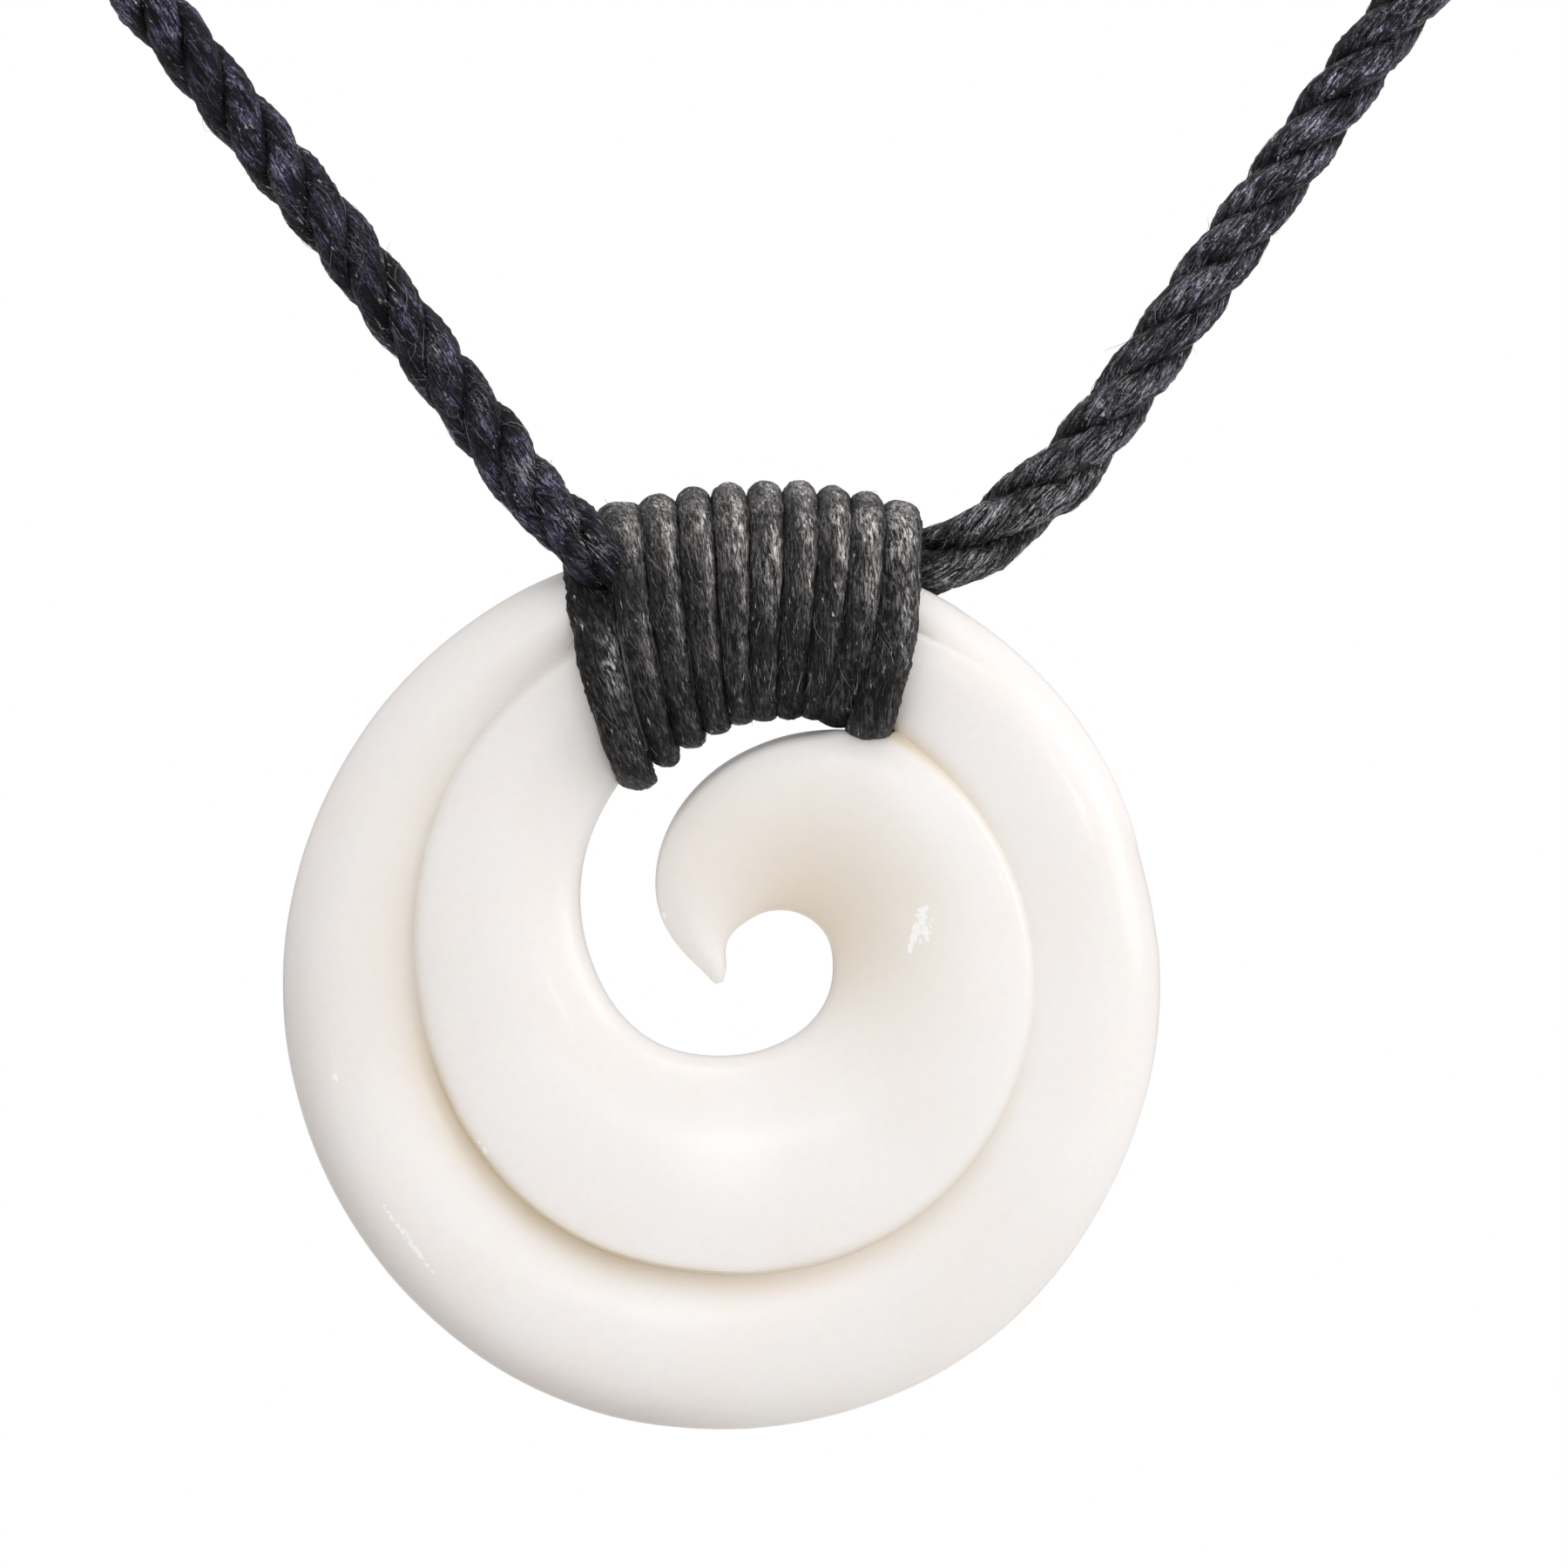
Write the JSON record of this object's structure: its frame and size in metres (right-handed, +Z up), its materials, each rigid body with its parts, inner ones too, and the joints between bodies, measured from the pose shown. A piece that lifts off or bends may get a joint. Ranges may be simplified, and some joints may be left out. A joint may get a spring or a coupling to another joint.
{
  "type": "carved bone spiral pendant necklace",
  "caption": "Carved bone spiral disc with a hooked inner coil, lashed with waxed strand to a dark laid neck cord that closes at the nape.",
  "frame": {"origin": "middle of the barrel clasp at the nape, where the necklace hangs", "axes": "+X to the viewer's right, +Z up, and the carved face looks to -Y"},
  "size_m": [0.1452, 0.0082, 0.1805],
  "materials": {
    "bone": "polished ivory-white bone with a soft gloss, beige in the creases",
    "waxed_strand": "near-black waxed cotton, fibrous, with grey fibres and a slight wax sheen",
    "waxed_cord": "near-black laid cotton cord with a blue-purple cast and short fuzz",
    "clasp_barrel": "plain black moulded barrel, satin"
  },
  "bodies": {
    "root": {"koru": "bone", "lashing": "waxed_strand", "cord_left": "waxed_cord", "cord_right": "waxed_cord", "clasp": "clasp_barrel"}
  },
  "joints": []
}
